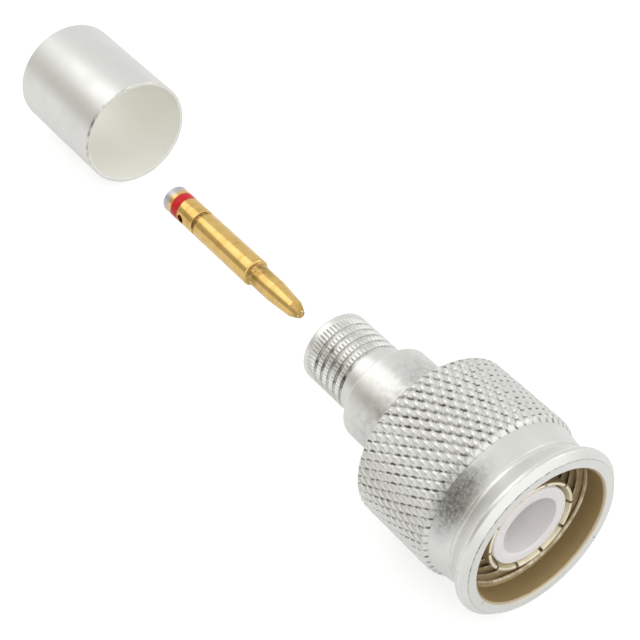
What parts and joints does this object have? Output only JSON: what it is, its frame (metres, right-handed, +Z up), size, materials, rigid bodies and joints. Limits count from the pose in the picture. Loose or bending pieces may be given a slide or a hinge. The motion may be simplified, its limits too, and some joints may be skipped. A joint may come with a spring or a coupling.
{
  "type": "coaxial cable plug",
  "caption": "Threaded coaxial cable plug with a free-turning knurled coupling nut, its centre contact and crimp ferrule taken off and laid out behind it.",
  "frame": {"origin": "on the connector axis at the coupling nut's front face", "axes": "+X along the connector axis out of the mating face, +Z up; the taken-off pieces lie behind toward -X, the ferrule on the table that the flange touches"},
  "size_m": [0.1084, 0.024, 0.0216],
  "materials": {
    "nut_metal": "bright silver-coloured plating, satin, knurled",
    "body_metal": "bright silver-coloured plating, turned",
    "spring_metal": "spring wire, plain",
    "seal_rubber": "moulded seal, matte",
    "finger_metal": "pale gold-coloured plating, satin",
    "dielectric": "white fluoropolymer, waxy",
    "contact_gold": "gold plating, bright, with a painted red band",
    "ferrule_metal": "drawn tube, silver-coloured plating, smooth"
  },
  "bodies": {
    "connector": {"connector_body": "body_metal", "retaining_ring": "spring_metal", "face_gasket": "seal_rubber", "outer_contact": "finger_metal", "front_insulator": "dielectric", "rear_insulator": "dielectric"},
    "nut": {"coupling_nut": "nut_metal"},
    "contact": {"centre_contact": "contact_gold"},
    "ferrule": {"crimp_ferrule": "ferrule_metal"}
  },
  "joints": [
    {"name": "nut_turn", "type": "hinge", "parent": "connector", "child": "nut", "pos_m": [-0.0155, 0, 0], "axis": [1, 0, 0], "continuous": true},
    {"name": "contact_slide", "type": "slide", "parent": "connector", "child": "contact", "axis": [1, 0, 0], "range_m": [0, 0.0405]},
    {"name": "ferrule_slide", "type": "slide", "parent": "connector", "child": "ferrule", "axis": [0.995, -0.0876, 0.0486], "range_m": [0, 0.0628]}
  ]
}
